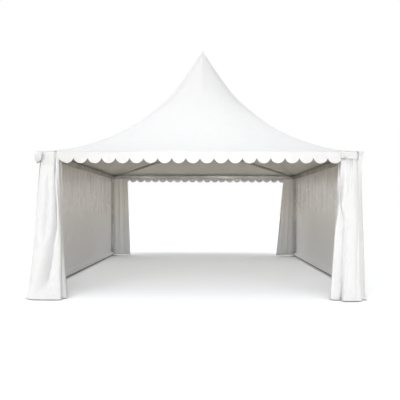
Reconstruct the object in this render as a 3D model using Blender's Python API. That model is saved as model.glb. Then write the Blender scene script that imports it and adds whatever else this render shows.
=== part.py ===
"""A five by five metre pagoda marquee with a high peaked roof, in metres at its real size, +Z up, front at -Y.

The frame is aluminium tube: four posts on base plates, four eave beams, two ground rails, and four rafters that
meet at a crown hub, where a mast stands and lifts the peak. The roof, its scalloped valances, the side walls and
the curtains gathered at the four corners are coated cloth. Every piece is modelled round the mast's axis, and one
empty carries them all to the middle of the ground that the tent covers.
"""

import math

import bmesh
import bpy
from mathutils import Matrix, Vector

# Room left between pieces that touch
SEAT = 0.0003

# Roof
EAVE_HALF = 2.55
EAVE_Z = 2.19
PEAK_Z = 4.70
MID_SLACK = 0.40
HIP_POWER_PEAK = 2.25
HIP_POWER_EAVE = 1.66
CLOTH = 0.004
PEAK_HOLE_HALF = 0.020
ROOF_LEVELS = 10
ROOF_COLUMNS = 10

# Frame
TUBE = 0.060
WALL = 0.003
CORNER_RADIUS = 0.006
FRAME_OUT = 2.52
BEAM_Z = (2.09, 2.17)
KEDER_DEPTH = 0.015
KEDER_ROUNDING = 0.001
BRACKET = 0.095
BRACKET_ROUNDING = 0.008
SPIGOT_REACH = 0.080
SPIGOT_PLAY = 0.0004
SPIGOT_ROUNDING = 0.003
SPIGOT_ROOT = 0.010
RAFTER = 0.050
RAFTER_FOOT_Z = 2.125
RAFTER_HUB_Z = 2.60
RAFTER_GAP = 0.001
STUB_REACH = 0.060
STUB_ROOT = 0.030
STUB_ROUNDING = 0.002

# Base plates, with each peg hole at these distances in from the plate's two outer edges
PLATE = 0.150
PLATE_THICK = 0.008
PLATE_ROUNDING = 0.010
PEG_HOLE_RADIUS = 0.008
PEG_HOLES = ((0.125, 0.085), (0.085, 0.125))
PEG_HOLE_STEPS = 14

# Crown
HUB_RADIUS = 0.055
HUB_Z = (2.545, 2.645)
HUB_CHAMFER = 0.007
SOCKET_RISE = 0.050
SOCKET_WALL = 0.007
MAST_RADIUS = 0.030
CAP_RADIUS = 0.075
CAP_SHOULDER_Z = 4.570
CAP_DROP = 0.005
ROUND_STEPS = 24

# Valances
VALANCE_THICK = 0.003
VALANCE_INSET = 0.0005
SCALLOP_Z = 2.000
NOTCH_Z = 2.085
SCALLOP_STEPS = 4
SCALLOPS = {"front": 23, "rear": 25, "left": 23, "right": 23}

# Side walls
SIDE_WALL_COLUMNS = 16
SIDE_WALL_ROWS = 4
SIDE_WALL_SLACK = 0.005

# Curtains. Each has its inner edge under the beam, then the outer and inner edges of its foot by the frame and at its
# front, all as distances from the mast's axis, and how far its foot stands out past the frame.
CURTAIN_TOP_Z = 2.165
CURTAIN_FREE_Z = SCALLOP_Z - 0.01
CURTAIN_OUT = 2.524
FRONT_REACH = 0.70
REAR_REACH = 0.045
CURTAINS = {
    "curtain_front_left": {
        "hand": -1,
        "end": -1,
        "top": 2.18,
        "foot_back": (CURTAIN_OUT, 2.09),
        "foot_front": (2.52, 1.82),
        "reach": FRONT_REACH,
    },
    "curtain_front_right": {
        "hand": 1,
        "end": -1,
        "top": 2.15,
        "foot_back": (CURTAIN_OUT, 2.05),
        "foot_front": (2.38, 1.86),
        "reach": 0.68,
    },
    "curtain_rear_left": {
        "hand": -1,
        "end": 1,
        "top": 2.09,
        "foot_back": (CURTAIN_OUT, 2.00),
        "foot_front": (CURTAIN_OUT, 2.00),
        "reach": REAR_REACH,
    },
    "curtain_rear_right": {
        "hand": 1,
        "end": 1,
        "top": 2.18,
        "foot_back": (CURTAIN_OUT, 1.985),
        "foot_front": (CURTAIN_OUT, 1.985),
        "reach": REAR_REACH,
    },
}
FOLDS = {-1: (4, 0.05), 1: (3, 0.02)}
PLEAT_DEPTH = 0.014
FOLD_CENTRE = 0.25
FOOT_ROUNDNESS = 4
FOOT_STEPS = 120
CURTAIN_COLUMNS = 30
CURTAIN_ROWS = 7

# How far the mast stands behind the middle of the ground that the tent covers
MAST_Y = (FRONT_REACH - REAR_REACH) / 2

X_AXIS = Vector((1, 0, 0))
Y_AXIS = Vector((0, 1, 0))
Z_AXIS = Vector((0, 0, 1))

SIDES = {"right": 0, "rear": 90, "left": 180, "front": 270}
CORNERS = {"rear_right": 0, "rear_left": 90, "front_left": 180, "front_right": 270}


def clear_scene():
    for old in list(bpy.data.objects):
        bpy.data.objects.remove(old)


def finish(name, colour, roughness, metallic=0.0):
    made = bpy.data.materials.new(name)
    made.use_nodes = True
    shader = made.node_tree.nodes["Principled BSDF"]
    shader.inputs["Base Color"].default_value = (*colour, 1.0)
    shader.inputs["Roughness"].default_value = roughness
    shader.inputs["Metallic"].default_value = metallic
    return made


def add_object(name, bm, look, tent, turn=0.0, smooth=False):
    """The mesh as an object on the tent, turned about the mast's axis by a number of degrees."""
    bmesh.ops.recalc_face_normals(bm, faces=bm.faces[:])
    mesh = bpy.data.meshes.new(name)
    bm.to_mesh(mesh)
    bm.free()
    mesh.materials.append(look)
    if smooth:
        mesh.shade_smooth()
        mesh.set_sharp_from_angle(angle=math.radians(35))
    made = bpy.data.objects.new(name, mesh)
    bpy.context.scene.collection.objects.link(made)
    made.parent = tent
    made.rotation_euler.z = math.radians(turn)
    return made


def combine(target, helpers, operation="UNION"):
    """Joins helper shapes to the target, or cuts them out of it, and keeps them out of sight."""
    for helper in helpers:
        helper.hide_render = True
        helper.display_type = "WIRE"
        step = target.modifiers.new(helper.name, "BOOLEAN")
        step.operation = operation
        step.solver = "EXACT"
        step.object = helper


def rounded_box(width, height, radius, steps=2):
    """The outline of a rounded rectangle round the origin, anticlockwise."""
    points = []
    for quarter, (side, end) in enumerate(((1, 1), (-1, 1), (-1, -1), (1, -1))):
        centre = Vector((side * (width / 2 - radius), end * (height / 2 - radius)))
        for step in range(steps + 1):
            angle = math.pi / 2 * (quarter + step / steps)
            points.append(centre + radius * Vector((math.cos(angle), math.sin(angle))))
    return points


def circle(radius, steps=ROUND_STEPS):
    angles = [2 * math.pi * k / steps for k in range(steps)]
    return [Vector((radius * math.cos(a), radius * math.sin(a))) for a in angles]


def placing(origin, across, up):
    """Local X along across, local Y along up, and local Z along their cross product."""
    axes = Matrix((across, up, across.cross(up))).transposed()
    return Matrix.Translation(origin) @ axes.to_4x4()


def upright(x, y):
    """Local Z straight up over a place on the ground."""
    return placing(Vector((x, y, 0)), X_AXIS, Y_AXIS)


def bar(outline, start, end, place, hollow=None):
    """A bar of this outline from start to end along the placing's Z, solid or with a second outline as its bore."""
    bm = bmesh.new()

    def ring(points, level):
        return [bm.verts.new(place @ Vector((p.x, p.y, level))) for p in points]

    def skin(low, high):
        for i in range(len(low)):
            j = (i + 1) % len(low)
            bm.faces.new((low[i], low[j], high[j], high[i]))

    low, high = ring(outline, start), ring(outline, end)
    skin(low, high)
    if hollow is None:
        bm.faces.new(low)
        bm.faces.new(high)
        return bm
    bore_low, bore_high = ring(hollow, start), ring(hollow, end)
    skin(bore_low, bore_high)
    skin(low, bore_low)
    skin(high, bore_high)
    return bm


def turned(profile, steps=ROUND_STEPS):
    """A solid turned about the Z axis from (radius, height) points that start and end on the axis."""
    bm = bmesh.new()
    rings = []
    for radius, height in profile:
        if radius == 0:
            rings.append([bm.verts.new((0, 0, height))])
            continue
        angles = [2 * math.pi * k / steps for k in range(steps)]
        rings.append([bm.verts.new((radius * math.cos(a), radius * math.sin(a), height)) for a in angles])
    for low, high in zip(rings, rings[1:]):
        for k in range(steps):
            n = (k + 1) % steps
            corners = [low[k % len(low)], low[n % len(low)], high[n % len(high)], high[k % len(high)]]
            bm.faces.new(list(dict.fromkeys(corners)))
    return bm


def sheet(face, back):
    """A closed sheet between two grids of points, each a list of rows."""
    bm = bmesh.new()
    grids = [[[bm.verts.new(p) for p in row] for row in grid] for grid in (face, back)]
    rows, columns = len(face), len(face[0])
    for grid in grids:
        for r in range(rows - 1):
            for c in range(columns - 1):
                bm.faces.new((grid[r][c], grid[r][c + 1], grid[r + 1][c + 1], grid[r + 1][c]))
    rim = [(0, c) for c in range(columns)] + [(r, columns - 1) for r in range(1, rows)]
    rim += [(rows - 1, c) for c in range(columns - 2, -1, -1)] + [(r, 0) for r in range(rows - 2, 0, -1)]
    near, far = grids
    for (r1, c1), (r2, c2) in zip(rim, rim[1:] + rim[:1]):
        bm.faces.new((near[r1][c1], near[r2][c2], far[r2][c2], far[r1][c1]))
    return bm


def canopy_height(x, y):
    """The roof's outer face: round like a cone at the peak, with four soft hips that flatten to the corners."""
    near, far = sorted((abs(x), abs(y)))
    share = far / EAVE_HALF
    rest = 1 - share
    middle = (1 - MID_SLACK) * rest**2 + MID_SLACK * rest
    hip = rest ** (HIP_POWER_PEAK + (HIP_POWER_EAVE - HIP_POWER_PEAK) * share)
    turn = (math.sqrt(1 + (near / far) ** 2) - 1) / (math.sqrt(2) - 1)
    return EAVE_Z + (PEAK_Z - EAVE_Z) * (middle + (hip - middle) * turn)


def keder_top():
    """The height of the beam's keder rail, where the roof cloth lies lowest on it: at the beam's ends."""
    return canopy_height(FRAME_OUT, FRAME_OUT - BRACKET) - CLOTH - SEAT


def rafter_point(t):
    """A point of the rafter's centre line over the diagonal, t metres out along X and along Y."""
    post = FRAME_OUT - TUBE / 2
    return Vector((t, t, RAFTER_HUB_Z + (RAFTER_FOOT_Z - RAFTER_HUB_Z) * t / post))


def rafter_placing():
    """Local Z runs down the rafter, from the hub out to the rear right corner."""
    along = (rafter_point(1) - rafter_point(0)).normalized()
    across = Vector((1, -1, 0)).normalized()
    return placing(rafter_point(0), across, along.cross(across)), (rafter_point(1) - rafter_point(0)).length


def build_base_plate(corner, turn, steel, tent):
    """A plate flush with the post's outer faces, with a spigot up into the post and two peg holes inside the frame."""
    middle = FRAME_OUT - PLATE / 2
    post = FRAME_OUT - TUBE / 2
    slab = bar(rounded_box(PLATE, PLATE, PLATE_ROUNDING), 0, PLATE_THICK, upright(middle, middle))
    plate = add_object(f"base_plate_{corner}", slab, steel, tent, turn)
    for number, (x_in, y_in) in enumerate(PEG_HOLES):
        place = upright(FRAME_OUT - x_in, FRAME_OUT - y_in)
        hole = bar(circle(PEG_HOLE_RADIUS, PEG_HOLE_STEPS), -PLATE_THICK, 2 * PLATE_THICK, place)
        combine(plate, [add_object(f"peg_hole_{corner}_{number}", hole, steel, tent, turn)], "DIFFERENCE")
    inside = TUBE - 2 * WALL - 2 * SPIGOT_PLAY
    outline = rounded_box(inside, inside, SPIGOT_ROUNDING)
    spigot = bar(outline, PLATE_THICK / 2, PLATE_THICK + SPIGOT_REACH, upright(post, post))
    combine(plate, [add_object(f"plate_spigot_{corner}", spigot, steel, tent, turn)])


def build_post(corner, turn, aluminium, tent):
    """Square tube from the base plate to the corner bracket."""
    middle = FRAME_OUT - TUBE / 2
    outer = rounded_box(TUBE, TUBE, CORNER_RADIUS)
    bore = rounded_box(TUBE - 2 * WALL, TUBE - 2 * WALL, CORNER_RADIUS - WALL)
    tube = bar(outer, PLATE_THICK + SEAT, BEAM_Z[0] - SEAT, upright(middle, middle), bore)
    add_object(f"corner_post_{corner}", tube, aluminium, tent, turn, smooth=True)


def build_bracket(corner, turn, steel, tent):
    """A cast corner with spigots down into the post, along into two beams and up into the rafter."""
    middle = FRAME_OUT - BRACKET / 2
    post = FRAME_OUT - TUBE / 2
    outline = rounded_box(BRACKET, BRACKET, BRACKET_ROUNDING)
    block = bar(outline, BEAM_Z[0], BEAM_Z[1], upright(middle, middle))
    bracket = add_object(f"corner_bracket_{corner}", block, steel, tent, turn)
    inside = TUBE - 2 * WALL - 2 * SPIGOT_PLAY
    tall = BEAM_Z[1] - BEAM_Z[0] - 2 * WALL - 2 * SPIGOT_PLAY
    beam_z = sum(BEAM_Z) / 2
    square = rounded_box(inside, inside, SPIGOT_ROUNDING)
    oblong = rounded_box(inside, tall, SPIGOT_ROUNDING)
    start, end = BRACKET / 2, BRACKET + SPIGOT_REACH
    down = bar(square, BEAM_Z[0] - SPIGOT_REACH, BEAM_Z[0] + SPIGOT_ROOT, upright(post, post))
    along_y = bar(oblong, start, end, placing(Vector((post, FRAME_OUT, beam_z)), X_AXIS, Z_AXIS))
    along_x = bar(oblong, start, end, placing(Vector((FRAME_OUT, post, beam_z)), -Y_AXIS, Z_AXIS))
    place, stretch = rafter_placing()
    stub_side = RAFTER - 2 * WALL - 2 * SPIGOT_PLAY
    inner = FRAME_OUT - BRACKET
    stub_outline = rounded_box(stub_side, stub_side, STUB_ROUNDING)
    stub = bar(stub_outline, (inner - STUB_REACH) * stretch, (inner + STUB_ROOT) * stretch, place)
    shapes = {"post": down, "beam_a": along_y, "beam_b": along_x, "rafter": stub}
    for use, shape in shapes.items():
        combine(bracket, [add_object(f"bracket_{use}_spigot_{corner}", shape, steel, tent, turn)])


def build_rafter(corner, turn, aluminium, tent):
    """Square tube from the corner bracket up to the crown hub."""
    place, stretch = rafter_placing()
    slant = RAFTER / 2 * abs(RAFTER_HUB_Z - RAFTER_FOOT_Z) / (math.sqrt(2) * FRAME_OUT)
    start = (HUB_RADIUS + slant + RAFTER_GAP) / math.sqrt(2) * stretch
    end = (FRAME_OUT - BRACKET - slant / math.sqrt(2) - RAFTER_GAP) * stretch
    outer = rounded_box(RAFTER, RAFTER, CORNER_RADIUS)
    bore = rounded_box(RAFTER - 2 * WALL, RAFTER - 2 * WALL, CORNER_RADIUS - WALL)
    add_object(f"rafter_{corner}", bar(outer, start, end, place, bore), aluminium, tent, turn, smooth=True)


def build_eave_beam(side, turn, aluminium, tent):
    """Rectangular tube between two corner brackets, with the keder rail that the roof cloth slides into."""
    tall = BEAM_Z[1] - BEAM_Z[0]
    half = FRAME_OUT - BRACKET - SEAT
    middle = Vector((FRAME_OUT - TUBE / 2, 0, sum(BEAM_Z) / 2))
    place = placing(middle, X_AXIS, Z_AXIS)
    outer = rounded_box(TUBE, tall, CORNER_RADIUS)
    bore = rounded_box(TUBE - 2 * WALL, tall - 2 * WALL, CORNER_RADIUS - WALL)
    beam = add_object(f"eave_beam_{side}", bar(outer, -half, half, place, bore), aluminium, tent, turn)
    low, high = BEAM_Z[1] - WALL / 2, keder_top()
    rail_place = placing(Vector((FRAME_OUT - KEDER_DEPTH / 2, 0, (low + high) / 2)), X_AXIS, Z_AXIS)
    rail = bar(rounded_box(KEDER_DEPTH, high - low, KEDER_ROUNDING, 1), -half, half, rail_place)
    combine(beam, [add_object(f"keder_rail_{side}", rail, aluminium, tent, turn)])


def build_ground_rail(side, turn, aluminium, tent):
    """Square tube on the base plates, between two posts, along the foot of a side wall."""
    half = FRAME_OUT - TUBE - SEAT
    low = PLATE_THICK + SEAT
    middle = Vector((FRAME_OUT - TUBE / 2, 0, low + TUBE / 2))
    outer = rounded_box(TUBE, TUBE, CORNER_RADIUS)
    bore = rounded_box(TUBE - 2 * WALL, TUBE - 2 * WALL, CORNER_RADIUS - WALL)
    tube = bar(outer, -half, half, placing(middle, X_AXIS, Z_AXIS), bore)
    add_object(f"ground_rail_{side}", tube, aluminium, tent, turn, smooth=True)


def build_crown(aluminium, steel, tent):
    """The hub that the rafters meet at, the mast in its socket, and the cone that the peak of the roof lies on."""
    low, high = HUB_Z
    bore = MAST_RADIUS + SPIGOT_PLAY
    collar = bore + SOCKET_WALL
    profile = [(0, low), (HUB_RADIUS - HUB_CHAMFER, low), (HUB_RADIUS, low + HUB_CHAMFER)]
    profile += [(HUB_RADIUS, high - HUB_CHAMFER), (HUB_RADIUS - HUB_CHAMFER, high), (collar, high)]
    profile += [(collar, high + SOCKET_RISE), (bore, high + SOCKET_RISE), (bore, high), (0, high)]
    hub = add_object("crown_hub", turned(profile), steel, tent, smooth=True)
    place, stretch = rafter_placing()
    stub_side = RAFTER - 2 * WALL - 2 * SPIGOT_PLAY
    ends = STUB_ROOT * stretch / math.sqrt(2), (HUB_RADIUS + SPIGOT_REACH) * stretch / math.sqrt(2)
    for corner, turn in CORNERS.items():
        stub = bar(rounded_box(stub_side, stub_side, STUB_ROUNDING), *ends, place)
        combine(hub, [add_object(f"hub_stub_{corner}", stub, steel, tent, turn)])

    inner = MAST_RADIUS - WALL
    mast_low, mast_high = high + SEAT, CAP_SHOULDER_Z - SEAT
    tube = bar(circle(MAST_RADIUS), mast_low, mast_high, upright(0, 0), circle(inner))
    add_object("mast", tube, aluminium, tent, smooth=True)

    slope = (2 - MID_SLACK) * (PEAK_Z - EAVE_Z) / EAVE_HALF
    tip = PEAK_Z - CAP_DROP
    plug = inner - SPIGOT_PLAY
    cone = [(0, CAP_SHOULDER_Z - SPIGOT_REACH), (plug, CAP_SHOULDER_Z - SPIGOT_REACH), (plug, CAP_SHOULDER_Z)]
    cone += [(CAP_RADIUS, CAP_SHOULDER_Z), (CAP_RADIUS, tip - slope * CAP_RADIUS), (0, tip)]
    add_object("mast_cap", turned(cone), steel, tent, smooth=True)


def build_roof_panel(side, turn, cloth, tent):
    """One of the four welded panels of the roof, from the eave to the peak."""
    first = PEAK_HOLE_HALF / EAVE_HALF
    last = FRAME_OUT / EAVE_HALF
    shares = [first + (last - first) * (k / ROOF_LEVELS) ** 1.5 for k in range(ROOF_LEVELS + 1)] + [1.0]
    top, bottom = [], []
    for share in shares:
        out = share * EAVE_HALF
        across = [(out - SEAT) * (2 * c / ROOF_COLUMNS - 1) for c in range(ROOF_COLUMNS + 1)]
        top.append([Vector((out, y, canopy_height(out, y))) for y in across])
        bottom.append([p - Vector((0, 0, CLOTH)) for p in top[-1]])
    add_object(f"roof_panel_{side}", sheet(top, bottom), cloth, tent, turn, smooth=True)


def scallop_line(half, count):
    """(place, height) along a valance's lower edge, with a notch in the middle and half a scallop at each corner."""
    pitch = 2 * EAVE_HALF / count
    rise = NOTCH_Z - SCALLOP_Z
    radius = (pitch**2 / 4 + rise**2) / (2 * rise)
    reach = math.asin(pitch / 2 / radius)
    line = []
    for k in range(-(count // 2) - 1, count // 2 + 1):
        for step in range(SCALLOP_STEPS):
            angle = reach * (2 * step / SCALLOP_STEPS - 1)
            y = (k + 0.5) * pitch + radius * math.sin(angle)
            if abs(y) < half - VALANCE_INSET:
                line.append((y, SCALLOP_Z + radius * (1 - math.cos(angle))))
    return [(-half, SCALLOP_Z)] + line + [(half, SCALLOP_Z)]


def build_valance(side, turn, cloth, tent):
    """The flat scalloped strip that hangs from the roof's edge."""
    out = EAVE_HALF - VALANCE_INSET
    wraps = side in ("front", "rear")
    half = out if wraps else out - VALANCE_THICK - SEAT
    top = EAVE_Z - CLOTH - SEAT
    line = scallop_line(half, SCALLOPS[side])

    def grid(x):
        return [[Vector((x, y, top)) for y, _ in line], [Vector((x, y, z)) for y, z in line]]

    add_object(f"valance_{side}", sheet(grid(out), grid(out - VALANCE_THICK)), cloth, tent, turn)


def build_side_wall(side, turn, cloth, tent):
    """The closed wall that hangs outside the posts, from the eave beam to the ground, slack between its edges."""
    top = BEAM_Z[1] - CORNER_RADIUS
    face, back = [], []
    for r in range(SIDE_WALL_ROWS + 1):
        z = top * (1 - r / SIDE_WALL_ROWS)
        row = []
        for c in range(SIDE_WALL_COLUMNS + 1):
            wave = SIDE_WALL_SLACK * (c % 2) * math.sin(math.pi * r / SIDE_WALL_ROWS)
            row.append(Vector((FRAME_OUT + SEAT + wave, FRAME_OUT * (2 * c / SIDE_WALL_COLUMNS - 1), z)))
        back.append(row)
        face.append([p + Vector((CLOTH, 0, 0)) for p in row])
    add_object(f"side_wall_{side}", sheet(face, back), cloth, tent, turn, smooth=True)


def even_spread(points, count):
    """Points spaced evenly by length along a line of points in the plane."""
    lengths = [0.0]
    for a, b in zip(points, points[1:]):
        lengths.append(lengths[-1] + (b - a).length)
    spread, k = [], 0
    for n in range(count + 1):
        target = lengths[-1] * n / count
        while k < len(points) - 2 and lengths[k + 1] < target:
            k += 1
        share = (target - lengths[k]) / (lengths[k + 1] - lengths[k])
        spread.append(points[k].lerp(points[k + 1], min(share, 1.0)))
    return spread


def foot_line(back, front, plane, reach):
    """The line of a curtain's foot on the ground, from the post round to its inner edge, evenly spaced."""
    line = []
    for n in range(FOOT_STEPS + 1):
        across, forward = math.cos(math.pi * n / FOOT_STEPS), math.sin(math.pi * n / FOOT_STEPS)
        side = math.copysign(abs(across) ** (2 / FOOT_ROUNDNESS), across)
        out = forward ** (2 / FOOT_ROUNDNESS)
        outer, inner = Vector(back).lerp(Vector(front), out)
        line.append(Vector(((outer + inner) / 2 + side * (outer - inner) / 2, plane + reach * out)))
    return even_spread(line, CURTAIN_COLUMNS)


def build_curtain(name, cloth, tent, hand, end, top, foot_back, foot_front, reach):
    """A curtain gathered at a corner: flat pleats under the valance, opening to a rounded foot on the ground.

    hand is -1 on the left and 1 on the right. end is -1 at the front and 1 at the rear.
    """
    plane = FRAME_OUT + SEAT + CLOTH / 2
    folds, depth = FOLDS[end]
    centre = Vector((sum(foot_back) / 2, plane - FOLD_CENTRE))
    ground = foot_line(foot_back, foot_front, plane, reach)
    heights = [CURTAIN_TOP_Z] + [CURTAIN_FREE_Z * (1 - r / CURTAIN_ROWS) for r in range(CURTAIN_ROWS + 1)]
    face, back = [], []
    for z in heights:
        opened = max(0.0, 1 - z / CURTAIN_FREE_Z)
        line = []
        for c in range(CURTAIN_COLUMNS + 1):
            share = c / CURTAIN_COLUMNS
            high = Vector((CURTAIN_OUT + (top - CURTAIN_OUT) * share, plane))
            wave = (1 - math.cos(2 * math.pi * folds * share)) / 2
            out = PLEAT_DEPTH * wave * (1 - opened) - depth * wave * opened * math.sin(math.pi * share)
            point = high.lerp(ground[c], opened)
            line.append(point + out * Vector((0, 1)).lerp((point - centre).normalized(), opened))
        row_face, row_back = [], []
        for c, point in enumerate(line):
            run = line[min(c + 1, CURTAIN_COLUMNS)] - line[max(c - 1, 0)]
            normal = Vector((run.y, -run.x)).normalized() * CLOTH / 2
            for row, spot in ((row_face, point - normal), (row_back, point + normal)):
                row.append(Vector((hand * spot.x, end * max(spot.y, FRAME_OUT + SEAT), z)))
        face.append(row_face)
        back.append(row_back)
    add_object(name, sheet(face, back), cloth, tent, smooth=True)


def main():
    clear_scene()
    aluminium = finish("aluminium", (0.42, 0.41, 0.39), 0.42, 0.9)
    steel = finish("galvanised_steel", (0.36, 0.36, 0.35), 0.5, 0.8)
    roof_cloth = finish("roof_cloth", (0.90, 0.90, 0.91), 0.45)
    wall_cloth = finish("wall_cloth", (0.86, 0.86, 0.85), 0.5)

    tent = bpy.data.objects.new("tent", None)
    bpy.context.scene.collection.objects.link(tent)
    tent.location.y = MAST_Y

    for corner, turn in CORNERS.items():
        build_base_plate(corner, turn, steel, tent)
        build_post(corner, turn, aluminium, tent)
        build_bracket(corner, turn, steel, tent)
        build_rafter(corner, turn, aluminium, tent)
    for side, turn in SIDES.items():
        build_eave_beam(side, turn, aluminium, tent)
        build_roof_panel(side, turn, roof_cloth, tent)
        build_valance(side, turn, roof_cloth, tent)
    for side in ("left", "right"):
        build_ground_rail(side, SIDES[side], aluminium, tent)
        build_side_wall(side, SIDES[side], wall_cloth, tent)
    build_crown(aluminium, steel, tent)
    for name, curtain in CURTAINS.items():
        build_curtain(name, wall_cloth, tent, **curtain)


main()
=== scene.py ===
"""The looks of a five by five metre pagoda marquee: white coated cloth over an aluminium frame.

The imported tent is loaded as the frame. Its tubes and castings stay and get their finishes, and every piece
of cloth is made again as real cloth, thin, hemmed, welded and creased, in the room that its solid holds.
Everything is in metres, in the tent's own frame: +Z up, the open front towards -Y, and the mast 0.33 m
behind the middle of the ground.
"""

import math

import bmesh
import bpy
import numpy as np
from mathutils import Matrix, Vector, noise


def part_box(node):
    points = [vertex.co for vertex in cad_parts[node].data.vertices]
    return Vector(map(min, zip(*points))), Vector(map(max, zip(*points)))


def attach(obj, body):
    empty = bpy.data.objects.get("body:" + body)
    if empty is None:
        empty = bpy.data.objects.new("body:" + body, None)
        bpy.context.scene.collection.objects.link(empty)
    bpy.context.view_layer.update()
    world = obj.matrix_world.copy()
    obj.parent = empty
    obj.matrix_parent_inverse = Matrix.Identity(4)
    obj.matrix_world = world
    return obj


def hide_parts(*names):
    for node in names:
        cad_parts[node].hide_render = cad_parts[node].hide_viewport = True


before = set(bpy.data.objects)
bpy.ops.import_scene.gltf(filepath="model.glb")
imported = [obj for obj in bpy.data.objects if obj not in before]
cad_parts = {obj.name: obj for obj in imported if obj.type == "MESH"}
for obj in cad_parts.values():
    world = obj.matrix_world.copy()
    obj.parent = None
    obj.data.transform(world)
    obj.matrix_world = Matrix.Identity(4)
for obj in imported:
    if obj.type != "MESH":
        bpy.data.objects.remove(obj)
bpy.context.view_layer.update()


# Aluminium tubes
# The posts, eave beams, rafters, ground rails and mast are extruded tube in a dull mill finish. They keep
# their solids. The metal shows the fine lines of the die, a grey bloom of oxide and a few handling marks,
# and on the ground rails it is a darker grey, partly soil and partly painted shade.

MILL_LIGHT, MILL_DARK = (0.60, 0.59, 0.565, 1.0), (0.46, 0.45, 0.43, 1.0)
SOILED_SHADED_LIGHT, SOILED_SHADED_DARK = (0.36, 0.35, 0.335, 1.0), (0.25, 0.245, 0.23, 1.0)
# Each kind of tube has its (turn that brings the lines along it, in degrees), (how its nodes' names begin).
TUBE_TURNS = {
    "upright": ((0, 90, 0), ("corner_post", "mast")),
    "across": ((0, 0, 0), ("eave_beam_front", "eave_beam_rear")),
    "deep": ((0, 0, 90), ("eave_beam_left", "eave_beam_right")),
    "rail": ((0, 0, 90), ("ground_rail",)),
    "rising": ((0, 0, -45), ("rafter_front_left", "rafter_rear_right")),
    "falling": ((0, 0, 45), ("rafter_front_right", "rafter_rear_left")),
}
DIE_LINE_DEPTH = 0.00012


def node(tree, kind, feeds=None, **settings):
    """A shader node with its settings. Each input is fed by another node's output or set to a value."""
    made = tree.nodes.new(kind)
    for name, value in settings.items():
        setattr(made, name, value)
    for socket, value in (feeds or {}).items():
        if isinstance(value, bpy.types.NodeSocket):
            tree.links.new(value, made.inputs[socket])
        else:
            made.inputs[socket].default_value = value
    return made


def link(tree, into, sources):
    """Feeds a node's inputs from these outputs."""
    for socket, source in sources.items():
        tree.links.new(source, into.inputs[socket])


def maths(tree, operation, *values, **settings):
    """One step of arithmetic on numbers, as its result."""
    return node(tree, "ShaderNodeMath", dict(enumerate(values)), operation=operation, **settings).outputs[0]


def vectors(tree, operation, *values):
    """One step of arithmetic on vectors or colours, as its result."""
    return node(tree, "ShaderNodeVectorMath", dict(enumerate(values)), operation=operation).outputs[0]


def ranged(tree, value, start, end, low=0.0, high=1.0, step="LINEAR"):
    """A number that goes from low to high while the value goes from start to end."""
    feeds = {"Value": value, "From Min": start, "From Max": end, "To Min": low, "To Max": high}
    return node(tree, "ShaderNodeMapRange", feeds, interpolation_type=step).outputs[0]


def soft_step(tree, value, start, end):
    return ranged(tree, value, start, end, step="SMOOTHSTEP")


def blend(tree, share, none, full):
    """The colour that lies this share of the way from one colour to another."""
    feeds = {"Factor": share, "A": none, "B": full}
    return node(tree, "ShaderNodeMix", feeds, data_type="RGBA").outputs["Result"]


def clouds(tree, vector, scale, detail, **shape):
    """Cloudy noise, finer with a larger scale and richer with more detail."""
    feeds = {"Vector": vector, "Scale": scale, "Detail": detail, **shape}
    return node(tree, "ShaderNodeTexNoise", feeds).outputs["Fac"]


def object_place(tree):
    """Each point of the surface, in metres, in the frame of its object."""
    return node(tree, "ShaderNodeTexCoord").outputs["Object"]


def effect(name, takes, gives):
    """A new shader node group, as (its tree, what it takes, its output node)."""
    tree = bpy.data.node_groups.new(name, "ShaderNodeTree")
    for label, (kind, value) in takes.items():
        socket = tree.interface.new_socket(label, in_out="INPUT", socket_type=f"NodeSocket{kind}")
        if value is not None:
            socket.default_value = value
    for label, kind in gives.items():
        tree.interface.new_socket(label, in_out="OUTPUT", socket_type=f"NodeSocket{kind}")
    return tree, tree.nodes.new("NodeGroupInput").outputs, tree.nodes.new("NodeGroupOutput")


def place_effect(tree, group, feeds):
    """A node group placed in a material with its own values, as its outputs."""
    return node(tree, "ShaderNodeGroup", feeds, node_tree=group).outputs


def finish(name, **values):
    """A new material with these values on its own shader, as (material, its tree, its shader)."""
    made = bpy.data.materials.new(name)
    made.use_nodes = True
    shader = made.node_tree.nodes["Principled BSDF"]
    for socket, value in values.items():
        shader.inputs[socket].default_value = value
    return made, made.node_tree, shader


def raise_surface(tree, shader, height, depth):
    """Feeds a height, where 1 stands this many metres proud, to the shader as a bump."""
    bump = node(tree, "ShaderNodeBump", {"Height": height, "Distance": depth, "Strength": 1.0})
    link(tree, shader, {"Normal": bump.outputs["Normal"]})


def make_drawn_metal():
    """Long fine lines along X, cloudy oxide, and small rubbed marks."""
    takes = {
        "Vector": ("Vector", None),
        "Light": ("Color", MILL_LIGHT),
        "Dark": ("Color", MILL_DARK),
        "Fineness": ("Float", 380.0),
    }
    gives = {"Colour": "Color", "Roughness": "Float", "Height": "Float"}
    tree, take, give = effect("drawn metal", takes, gives)
    along = vectors(tree, "MULTIPLY", take["Vector"], (0.006, 1.0, 1.0))
    lines = clouds(tree, along, take["Fineness"], 3.0, Roughness=0.7)
    oxide = soft_step(tree, clouds(tree, take["Vector"], 2.6, 6.0, Roughness=0.65), 0.36, 0.66)
    rubbed = soft_step(tree, clouds(tree, take["Vector"], 34.0, 2.0, Distortion=1.4), 0.62, 0.74)
    base = blend(tree, oxide, take["Dark"], take["Light"])
    lined = vectors(tree, "MULTIPLY", base, ranged(tree, lines, 0.3, 0.7, 0.86, 1.10))
    rough = maths(tree, "MULTIPLY_ADD", rubbed, -0.12, ranged(tree, oxide, 0.0, 1.0, 0.56, 0.42))
    worn = blend(tree, rubbed, lined, take["Light"])
    link(tree, give, {"Colour": worn, "Roughness": rough, "Height": lines})
    return tree


drawn_metal = make_drawn_metal()


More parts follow.
